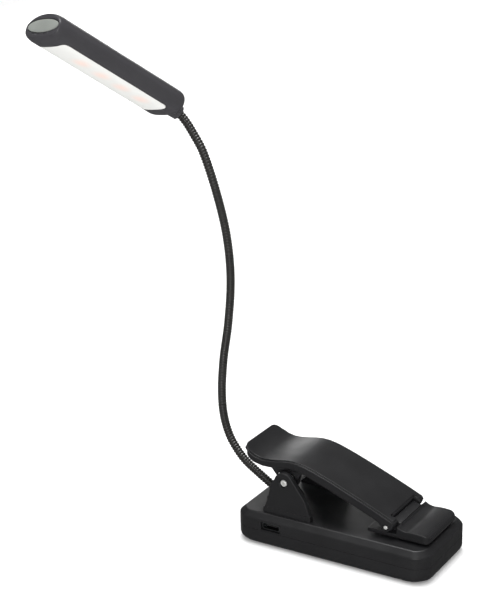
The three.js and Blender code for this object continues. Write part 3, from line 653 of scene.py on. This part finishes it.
# %% Cheek roots
pivot = Vector(joints["lever_open"]["pos_m"])
cheek_inner = 9.05 * MM
cheek_outer = 10.95 * MM
cheek_edge = [(-7.2, 4.2), (-6.0, 1.9), (-3.2, 0.4), (-2.0, 3.0)]
cheek_tops = [-2.0 * MM, -6.8 * MM]
root_outline = [(pivot.x + x * MM, pivot.z + z * MM) for x, z in cheek_edge]
root_outline += [(pivot.x + x, lever_height(pivot.x + x) - 1.2 * MM) for x in cheek_tops]
for side in (-1, 1):
    verts = [(x, side * y, z) for y in (cheek_inner, cheek_outer) for x, z in root_outline]
    count = len(root_outline)
    faces = [tuple(range(count)), tuple(range(count, 2 * count))[::-1]] + band_faces(2, count)
    root = solid(f"cheek_root_{'near' if side < 0 else 'far'}", verts, faces)
    weighted_bevel(root, 0.2 * MM, sharp=20)
    dressed(root, "black_abs", "lever")

# %% [markdown]
# Two ears hold the lever's pivot and a short boss holds the gooseneck. They stand on the roof and
# have many curved edges, so they come from the node itself: cut off at the roof, then rounded.

# %% Ears and neck boss
root_depth = 0.3 * MM
standing = merged_copy("base_top_shell")
bmesh.ops.bisect_plane(standing, geom=standing.verts[:] + standing.edges[:] + standing.faces[:],
                       plane_co=(0, 0, roof_z - root_depth), plane_no=(0, 0, 1), clear_inner=True)
roof_faces = [face for face in standing.faces if face.calc_center_median().z < roof_z + 0.01 * MM]
bmesh.ops.delete(standing, geom=roof_faces, context="FACES")
standing_mesh = bpy.data.meshes.new("ears_and_boss")
standing.to_mesh(standing_mesh)
standing.free()
ears = new_object("ears_and_boss", standing_mesh)
weighted_bevel(ears, 0.3 * MM)
dressed(ears, "black_abs", "base")

# %% [markdown]
# The arm is a gooseneck: two wires wound together into a tube that stays where it is bent. Its
# ridges are too many to place by hand, and they follow one curve, so Geometry Nodes make it: a
# round section is swept along the curve and its skin is lifted by a rule of distance and angle.

# %% Centreline of the gooseneck
socket_mouth = Vector((-34.4, 0, 15.9)) * MM
socket_slope = math.radians(32)
socket_end = socket_mouth + Vector((math.cos(socket_slope), 0, -math.sin(socket_slope))) * 8.8 * MM
arm_points = [
    (-38.6, 0, 18.5), (-43.9, 0, 21.8), (-48.8, 0, 25.2), (-53.0, 0, 29.8), (-56.4, 0, 35.4),
    (-58.7, 0, 43.2), (-59.4, 0, 53.0), (-58.2, 0, 68.0), (-55.4, 0, 84.5), (-53.7, 0, 104.0),
    (-55.0, 0, 121.0), (-59.1, 0, 138.0), (-65.2, 0, 154.8), (-68.2, -0.4, 160.2), (-71.8, -1.5, 166.4),
    (-74.8, -3.1, 170.5), (-76.8, -5.6, 173.3), (-78.4, -9.0, 176.2),
]


def smooth_route(points, per_span=24):
    """A centripetal Catmull-Rom curve through the points, with its ends run on straight."""
    points = [np.array(point, float) for point in points]
    points = [2 * points[0] - points[1]] + points + [2 * points[-1] - points[-2]]
    route = []
    for p0, p1, p2, p3 in zip(points, points[1:], points[2:], points[3:]):
        d1, d2, d3 = (math.sqrt(np.linalg.norm(b - a)) for a, b in ((p0, p1), (p1, p2), (p2, p3)))
        m1 = ((p1 - p0) / d1 - (p2 - p0) / (d1 + d2) + (p2 - p1) / d2) * d2
        m2 = ((p2 - p1) / d2 - (p3 - p1) / (d2 + d3) + (p3 - p2) / d3) * d2
        for step in range(per_span):
            t = step / per_span
            a, b = 2 * t**3 - 3 * t**2 + 1, t**3 - 2 * t**2 + t
            c, d = -2 * t**3 + 3 * t**2, t**3 - t**2
            route.append(a * p1 + b * m1 + c * p2 + d * m2)
    route.append(points[-2])
    return np.array(route)


route = smooth_route([socket_end, socket_mouth] + [Vector(point) * MM for point in arm_points])
steps_along = np.linalg.norm(np.diff(route, axis=0), axis=1)
distance = np.concatenate([[0], np.cumsum(steps_along)])
arm_length = distance[-1]


def on_arm(along):
    """The point of the centreline at that distance from the socket's end."""
    return Vector([float(np.interp(along, distance, route[:, axis])) for axis in range(3)])


print("gooseneck length, mm:", round(arm_length / MM, 1))

# %% [markdown]
# The tree has its sizes as named inputs. The section's angle and the distance along the curve are
# captured before the sweep, because afterwards only the skin is left.


# %% Wound tube as Geometry Nodes
def geometry_tree(name, sizes):
    """A Geometry Nodes tree with number inputs named in sizes, and its two end nodes."""
    tree = bpy.data.node_groups.new(name, "GeometryNodeTree")
    tree.interface.new_socket("Geometry", in_out="INPUT", socket_type="NodeSocketGeometry")
    for size, value in sizes.items():
        tree.interface.new_socket(size, in_out="INPUT", socket_type="NodeSocketFloat").default_value = value
    tree.interface.new_socket("Geometry", in_out="OUTPUT", socket_type="NodeSocketGeometry")
    return tree, add(tree, "NodeGroupInput"), add(tree, "NodeGroupOutput")


def curve_of(name, points):
    """A plain curve object through the points."""
    curve = bpy.data.curves.new(name, "CURVE")
    curve.dimensions = "3D"
    spline = curve.splines.new("POLY")
    spline.points.add(len(points) - 1)
    spline.points.foreach_set("co", [c for point in points for c in (*point, 1.0)])
    return new_object(name, curve)


def grown(source, tree, name, **sizes):
    """Runs the tree on the source object and returns its result as a plain mesh object."""
    modifier = source.modifiers.new("grow", "NODES")
    modifier.node_group = tree
    for item in tree.interface.items_tree:
        if item.in_out == "INPUT" and item.name in sizes:
            modifier[item.identifier] = sizes[item.name]
    depsgraph = bpy.context.evaluated_depsgraph_get()
    mesh = bpy.data.meshes.new_from_object(source.evaluated_get(depsgraph))
    bpy.data.objects.remove(source)
    return new_object(name, mesh)


def handed_over(tree, geometry, material, result):
    """The last steps of every tree: realize the instances, set the material, give the result."""
    whole = add(tree, "GeometryNodeRealizeInstances", {"Geometry": geometry})
    coated = add(tree, "GeometryNodeSetMaterial", {"Geometry": whole.outputs["Geometry"],
                                                   "Material": material})
    tree.links.new(coated.outputs["Geometry"], result.inputs["Geometry"])
    return tree


def kept_as(tree, geometry, name, value):
    """Keeps a number on the points under a name, so that it outlives the sweep."""
    inputs = {"Geometry": geometry, "Name": name, "Value": value}
    stored = add(tree, "GeometryNodeStoreNamedAttribute", inputs, data_type="FLOAT", domain="POINT")
    return stored.outputs["Geometry"]


def wound_tube_tree(material):
    """Sweeps a round section along a curve and lifts its skin into a wound ridge."""
    sizes = {"Radius": 1.8 * MM, "Pitch": 1.2 * MM, "Depth": 0.32 * MM, "Step": 0.14 * MM}
    tree, given, result = geometry_tree("wound_tube", sizes)
    curve = add(tree, "GeometryNodeResampleCurve", {"Curve": given.outputs["Geometry"],
                                                    "Length": given.outputs["Step"]}, mode="LENGTH")
    run = add(tree, "GeometryNodeSplineParameter").outputs["Length"]
    circle = add(tree, "GeometryNodeCurvePrimitiveCircle", {"Radius": given.outputs["Radius"],
                                                            "Resolution": 28})
    share = add(tree, "GeometryNodeSplineParameter").outputs["Factor"]
    skin = add(tree, "GeometryNodeCurveToMesh", {
        "Curve": kept_as(tree, curve.outputs["Curve"], "along", run),
        "Profile Curve": kept_as(tree, circle.outputs["Curve"], "turn", share), "Fill Caps": True})
    along = add(tree, "GeometryNodeInputNamedAttribute", {"Name": "along"}, data_type="FLOAT")
    turn = add(tree, "GeometryNodeInputNamedAttribute", {"Name": "turn"}, data_type="FLOAT")
    turns = calc(tree, "DIVIDE", along.outputs["Attribute"], given.outputs["Pitch"])
    phase = calc(tree, "ADD", turns, turn.outputs["Attribute"])
    # sin of half a turn is a row of round wires with sharp grooves between them
    wave = calc(tree, "SINE", calc(tree, "MULTIPLY", phase, math.pi))
    sunk = calc(tree, "SUBTRACT", calc(tree, "ABSOLUTE", wave), 1.0)
    lift = calc(tree, "MULTIPLY", sunk, given.outputs["Depth"])
    normal = add(tree, "GeometryNodeInputNormal")
    offset = add(tree, "ShaderNodeVectorMath", {0: normal.outputs[0], "Scale": lift}, operation="SCALE")
    moved = add(tree, "GeometryNodeSetPosition", {"Geometry": skin.outputs["Mesh"],
                                                  "Offset": offset.outputs[0]})
    smooth = add(tree, "GeometryNodeSetShadeSmooth", {"Geometry": moved.outputs["Geometry"]})
    return handed_over(tree, smooth.outputs["Geometry"], material, result)


wound_tube = wound_tube_tree(finishes["black_wound_steel"])
arm = grown(curve_of("arm_route", route), wound_tube, "arm")
print("gooseneck faces:", len(arm.data.polygons))

# %% [markdown]
# The arm crosses five joints, and a bending mesh can cross only one, so the tube is parted halfway
# between joints, where both sides move alike. Each part then bends over its own joint.

# %% Part the arm at its stretches
arm_bodies = ["base", "neck_low", "neck_mid", "neck_high", "neck_top", "head"]
arm_joints = ["neck_foot_bend", "neck_low_swing", "neck_mid_bend", "neck_high_swing", "head_nod"]
joint_at = []
for name in arm_joints:
    gap = np.linalg.norm(route - np.array(joints[name]["pos_m"]), axis=1)
    joint_at.append(float(distance[gap.argmin()]))
cuts = [0.0] + [(a + b) / 2 for a, b in zip(joint_at, joint_at[1:])] + [arm_length]
room = [min(at - start, end - at) for at, start, end in zip(joint_at, cuts, cuts[1:])]
foot_reach = 5 * MM
head_reach = 4 * MM
reach_share = 0.95
bend_reach = [foot_reach] + [reach_share * share for share in room[1:-1]] + [head_reach]
arm_nodes = [["neck_root"], ["neck_stretch_1"], ["neck_stretch_2"], ["neck_stretch_3"],
             ["neck_stretch_4", "neck_tip"]]


def part_of(obj, name, start, end):
    """The faces of a swept mesh whose middle lies between two distances, with the ends closed."""
    mesh = bmesh.new()
    mesh.from_mesh(obj.data)
    layer = mesh.verts.layers.float["along"]
    gone = []
    for face in mesh.faces:
        middle_along = sum(vert[layer] for vert in face.verts) / len(face.verts)
        if not start <= middle_along < end:
            gone.append(face)
    bmesh.ops.delete(mesh, geom=gone, context="FACES")
    bmesh.ops.holes_fill(mesh, edges=[edge for edge in mesh.edges if edge.is_boundary])
    piece = bpy.data.meshes.new(name)
    mesh.to_mesh(piece)
    mesh.free()
    for attribute in ("along", "turn"):
        if attribute in piece.attributes:
            piece.attributes.remove(piece.attributes[attribute])
    piece.materials.clear()
    piece.materials.append(finishes["black_wound_steel"])
    return new_object(name, piece)


for i, at in enumerate(joint_at):
    last = i == len(joint_at) - 1
    stretch = part_of(arm, f"arm_stretch_{i + 1}", cuts[i], cuts[i + 1] + (MM if last else 0))
    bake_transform(stretch, arm_bodies[i], arm_bodies[i + 1], start=on_arm(at - bend_reach[i]),
             end=on_arm(at + bend_reach[i]))
    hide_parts(*arm_nodes[i])
    print(stretch.name, "mm:", round((cuts[i + 1] - cuts[i]) / MM, 1), "faces:", len(stretch.data.polygons))
bpy.data.objects.remove(arm)

# %% [markdown]
# The lamp head is a hollow bar: an elliptic back, a squarer front, a low dome at the neck end and
# a flat tip with a touch pad. One rule gives every ring of its skin, so it is drawn as a fine
# grid, and the window, the pad's seat and the hollow are cut from it.

# %% Frame of the head
head_turn = Matrix((head_x, head_y, head_z)).transposed()
shell_local = np.array([vert.co for vert in nodes["head_shell"].data.vertices]) @ np.array(head_turn)
local_low, local_high = shell_local.min(0), shell_local.max(0)
head_back = 6.0 * MM
head_front = 5.35 * MM
head_length = float(local_high[0] - local_low[0])
head_half = float(local_high[1] - local_low[1]) / 2
head_origin = Vector((local_low[0], (local_low[1] + local_high[1]) / 2, local_high[2] - head_back))
head_place = head_turn.to_4x4() @ Matrix.Translation(head_origin)
print("head, mm:", round(head_length / MM, 1), "by", round(2 * head_half / MM, 1))

# %% Head skin
neck_dome = 3.2 * MM
dome_fullness = 0.75
tip_dome = 3.6 * MM
tip_across = 0.93
tip_up = 0.76
squareness = 3


def head_profile(inset):
    """(share of the full section, distance from the neck end) from one pole of the skin to the other."""
    rings = []
    for step in range(1, 15):
        t = step / 14 * math.pi / 2
        rings.append((math.sin(t) ** dome_fullness, inset + neck_dome * (1 - math.cos(t))))
    straight = head_length - neck_dome - tip_dome
    rings += [(1.0, neck_dome + straight * step / 30) for step in range(1, 30)]
    for step in range(12):
        t = step / 11 * math.pi / 2
        share = 1 - (1 - tip_across) * (1 - math.cos(t))
        rings.append((share, head_length - inset - tip_dome * (1 - math.sin(t))))
    rings += [(share, head_length - inset) for share in (0.9, 0.8, 0.6, 0.3)]
    return rings


def head_skin(name, inset, around=96):
    """The head's closed skin, drawn in by inset, in its own frame."""
    verts = [(inset, 0, 0)]
    rings = head_profile(inset)
    for share, x in rings:
        into = min(max((x + inset - head_length + tip_dome) / tip_dome, 0), 1)
        fall = 1 - math.sqrt(max(1 - into * into, 0))
        flatten = (1 - (1 - tip_up) * fall) / (1 - (1 - tip_across) * fall)
        for i in range(around):
            angle = 2 * math.pi * (i + 0.5) / around
            c, h = math.cos(angle), math.sin(angle)
            if h >= 0:
                y, z = c * (head_half - inset), h * (head_back - inset)
            else:
                power = 2 / squareness
                y = math.copysign(abs(c) ** power, c) * (head_half - inset)
                z = -(abs(h) ** power) * (head_front - inset)
            verts.append((x, share * y, share * z * flatten))
    verts.append((head_length - inset, 0, 0))
    faces = [(0, 1 + (i + 1) % around, 1 + i) for i in range(around)]
    faces += band_faces(len(rings), around, first=1)
    a = 1 + (len(rings) - 1) * around
    faces += [(len(verts) - 1, a + i, a + (i + 1) % around) for i in range(around)]
    return solid(name, verts, faces, smooth=True)


def rounded_rectangle(low_u, high_u, half_v, radius, steps=8):
    """Plan of a window with round corners."""
    near, far, side = low_u + radius, high_u - radius, half_v - radius
    centres = ((far, side, 0), (near, side, 90), (near, -side, 180), (far, -side, 270))
    points = []
    for centre_u, centre_v, start in centres:
        for step in range(steps + 1):
            angle = math.radians(start + 90 * step / steps)
            points.append((centre_u + radius * math.cos(angle), centre_v + radius * math.sin(angle)))
    return points


def oval(half_u, half_v, rise, steps=64):
    """Plan of an oval whose centre stands rise above the head's middle."""
    angles = [2 * math.pi * step / steps for step in range(steps)]
    return [(half_u * math.cos(angle), rise + half_v * math.sin(angle)) for angle in angles]


window_start = 7.5 * MM
window_end = head_length - 6 * MM
window_half = 7.7 * MM
window_depth = head_front / 2
window_round = 2.0 * MM
shell_thickness = 1.4 * MM
pane_thickness = 1.2 * MM
pad_half = (8.7 * MM, 2.6 * MM)
pad_rise = 0.3 * MM
pad_groove = 0.35 * MM

head_shell = head_skin("head_body", 0)
boolean(head_shell, head_skin("hollow", shell_thickness, around=48))
window = rounded_rectangle(window_start, window_end, window_half, window_round)
boolean(head_shell, prism("window", window, -20 * MM, -window_depth))
seat = oval(pad_half[0] + pad_groove, pad_half[1] + pad_groove, pad_rise)
boolean(head_shell, prism("seat", seat, head_length - 0.7 * MM, head_length + MM, axis=0))
head_shell.data.transform(head_place)
weighted_bevel(head_shell, 0.16 * MM, steps=2, sharp=40)
dressed(head_shell, "head_abs", "head", "head_shell")

pane = head_skin("window_pane", 0.04 * MM)
boolean(pane, head_skin("hollow", pane_thickness, around=48))
seam = 0.1 * MM
pane_plan = rounded_rectangle(window_start + seam, window_end - seam, window_half - seam, window_round)
boolean(pane, prism("pane_plan", pane_plan, -20 * MM, -window_depth - seam), "INTERSECT")
pane.data.transform(head_place)
weighted_bevel(pane, 0.12 * MM, steps=2, sharp=40)
dressed(pane, "frosted_acrylic", "head", "diffuser")

# %% [markdown]
# The touch pad is a thin silvered oval, slightly crowned, that sits in its seat with a dark groove
# round it. It is drawn as nested ovals that rise towards the middle.

# %% Touch pad
pad_rings = [(1.0, -0.6), (1.0, 0.0), (0.985, 0.06), (0.95, 0.10), (0.7, 0.16), (0.35, 0.20)]
pad_verts, pad_sides = [], 64
for share, height in pad_rings:
    for u, v in oval(pad_half[0] * share, pad_half[1] * share, pad_rise, pad_sides):
        pad_verts.append((head_length + (height - 0.05) * MM, u, v))
pad_faces = band_faces(len(pad_rings), pad_sides) + [tuple(range(pad_sides))[::-1]]
pad_faces.append(tuple(range((len(pad_rings) - 1) * pad_sides, len(pad_rings) * pad_sides)))
pad = solid("touch_oval", pad_verts, pad_faces, smooth=True)
pad.data.transform(head_place)
dressed(pad, "satin_silver_plastic", "head", "touch_pad")
collar = rounded_shell("head_collar", "neck_collar", width=0.15 * MM)
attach(collar, "head")

# %% [markdown]
# The lever turns on a tubular rivet, and the jaw plate on a plain pin. Both are turned parts: their
# ends are crowned, and the rivet's are drilled.


# %% Rivet and pin
def turned_pin(node, drill_radius, drill_depth, crown):
    """A pin across the lamp in a node's place, with crowned ends that are drilled at the centre."""
    low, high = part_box(node)
    radius = (high.x - low.x) / 2
    half = (high.y - low.y) / 2
    end = [(drill_depth, drill_radius * 0.9), (crown * 1.2, drill_radius)]
    end.append((crown * 0.4, drill_radius * 1.12))
    for step in range(9):
        t = step / 8
        end.append((crown * t**2.5, drill_radius * 1.3 + (radius - drill_radius * 1.3) * t))
    profile = [(along - half, across) for along, across in end]
    profile += [(half - along, across) for along, across in reversed(end)]
    return turned(node + "_turned", profile, (low + high) / 2, (0, 1, 0))


rivet = turned_pin("pivot_rivet", 0.6 * MM, 1.2 * MM, 0.3 * MM)
dressed(rivet, "bright_steel", "base", "pivot_rivet")
pin = turned_pin("jaw_pin", 0.2 * MM, 0.25 * MM, 0.25 * MM)
dressed(pin, "bright_steel", "lever", "jaw_pin")

# %% [markdown]
# The clip closes by a torsion spring round the rivet. One leg lies on the base and the other under
# the thumb plate, so its coil twists from one end to the other when the lever opens.

# %% Torsion spring
spring_radius = 2.9 * MM
spring_half = 8.1 * MM
spring_turns = 10
leg_on_base = 17 * MM
leg_on_lever = 9.5 * MM


def spring_point(along, coil, start, turn):
    """A place on the spring's wire at a distance from the end of its lower leg."""
    inside = min(max(along - leg_on_base, 0), coil)
    angle = start + turn * inside / coil
    beyond = along - leg_on_base - inside
    radial = Vector((math.cos(angle), 0, math.sin(angle)))
    forward = Vector((-math.sin(angle), 0, math.cos(angle)))
    sideways = Vector((0, spring_half * (2 * inside / coil - 1), 0))
    return pivot + radial * spring_radius + forward * beyond + sideways


spring_start = math.radians(-50)
spring_turn = math.radians(135 + 360 * spring_turns)
coil_length = spring_turn * spring_radius
wire_length = leg_on_base + coil_length + leg_on_lever
spring_steps = 1400
spring_route = [
    spring_point(wire_length * i / spring_steps, coil_length, spring_start, spring_turn)
    for i in range(spring_steps + 1)
]


def wire_tree(material):
    """Sweeps a round wire along a curve."""
    tree, given, result = geometry_tree("wire", {"Wire Radius": 0.45 * MM, "Step": 0.35 * MM})
    curve = add(tree, "GeometryNodeResampleCurve", {"Curve": given.outputs["Geometry"],
                                                    "Length": given.outputs["Step"]}, mode="LENGTH")
    circle = add(tree, "GeometryNodeCurvePrimitiveCircle", {"Radius": given.outputs["Wire Radius"],
                                                            "Resolution": 14})
    skin = add(tree, "GeometryNodeCurveToMesh", {
        "Curve": curve.outputs["Curve"], "Profile Curve": circle.outputs["Curve"], "Fill Caps": True})
    smooth = add(tree, "GeometryNodeSetShadeSmooth", {"Geometry": skin.outputs["Mesh"]})
    return handed_over(tree, smooth.outputs["Geometry"], material, result)


spring = grown(curve_of("spring_route", spring_route), wire_tree(finishes["spring_steel"]), "coil_spring")
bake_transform(spring, "base", "lever", start=pivot - Vector((0, spring_half, 0)),
         end=pivot + Vector((0, spring_half, 0)))
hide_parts("torsion_spring")
print("spring wire, mm:", round(wire_length / MM), "faces:", len(spring.data.polygons))

# %% [markdown]
# Four screws close the base from below. The tree puts one pan head with a cross recess and a shank
# on each point of a four-point mesh, so the screw is drawn once.


# %% Cover screws
def screw_tree(material, head_radius, head_height, length):
    """Instances a cross-head screw, head down, on every point."""
    sizes = {"Head Radius": head_radius, "Head Height": head_height, "Length": length,
             "Slot Width": 0.55 * MM, "Slot Depth": 0.7 * MM}
    tree, given, result = geometry_tree("cross_head_screw", sizes)
    needed = ("Head Radius", "Length", "Slot Width")
    radius, shank_long, slot_wide = (given.outputs[size] for size in needed)
    flat = calc(tree, "MULTIPLY", given.outputs["Head Height"], 0.5)
    crown = add(tree, "GeometryNodeMeshCone", {"Vertices": 40, "Radius Top": radius, "Depth": flat,
                                               "Radius Bottom": calc(tree, "MULTIPLY", radius, 0.82)})
    body = add(tree, "GeometryNodeMeshBoolean", operation="UNION", solver="EXACT")
    tree.links.new(crown.outputs["Mesh"], body.inputs["Mesh 2"])
    shank = calc(tree, "MULTIPLY", radius, 0.5)
    for sides, wide, long, lift in ((40, radius, flat, 1.5), (24, shank, shank_long, 0.5)):
        rod = add(tree, "GeometryNodeMeshCylinder", {"Vertices": sides, "Radius": wide, "Depth": long})
        up = add(tree, "ShaderNodeCombineXYZ", {"Z": calc(tree, "MULTIPLY", long, lift)})
        placed = add(tree, "GeometryNodeTransform", {"Geometry": rod.outputs["Mesh"],
                                                     "Translation": up.outputs[0]})
        tree.links.new(placed.outputs["Geometry"], body.inputs["Mesh 2"])
    cut_head = add(tree, "GeometryNodeMeshBoolean", {"Mesh 1": body.outputs["Mesh"]},
                   operation="DIFFERENCE", solver="EXACT")
    arm_long = calc(tree, "MULTIPLY", radius, 1.2)
    deep = calc(tree, "MULTIPLY", given.outputs["Slot Depth"], 2.0)
    for x, y in ((arm_long, slot_wide), (slot_wide, arm_long)):
        blade_size = add(tree, "ShaderNodeCombineXYZ", {"X": x, "Y": y, "Z": deep})
        blade = add(tree, "GeometryNodeMeshCube", {"Size": blade_size.outputs[0]})
        tree.links.new(blade.outputs["Mesh"], cut_head.inputs["Mesh 2"])
    spread = add(tree, "GeometryNodeInstanceOnPoints", {"Points": given.outputs["Geometry"],
                                                        "Instance": cut_head.outputs["Mesh"]})
    return handed_over(tree, spread.outputs["Instances"], material, result)


screw_low, screw_high = screw_boxes[0]
screw_feet = [((low.x + high.x) / 2, (low.y + high.y) / 2, low.z) for low, high in screw_boxes]
driven = screw_tree(finishes["zinc_steel"], screw_radius, 1.5 * MM, screw_high.z - screw_low.z)
screws = grown(solid("screw_feet", screw_feet, []), driven, "cover_screws")
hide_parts("cover_screw_1", "cover_screw_2", "cover_screw_3", "cover_screw_4")
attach(screws, "base")
print("screws faces:", len(screws.data.polygons))
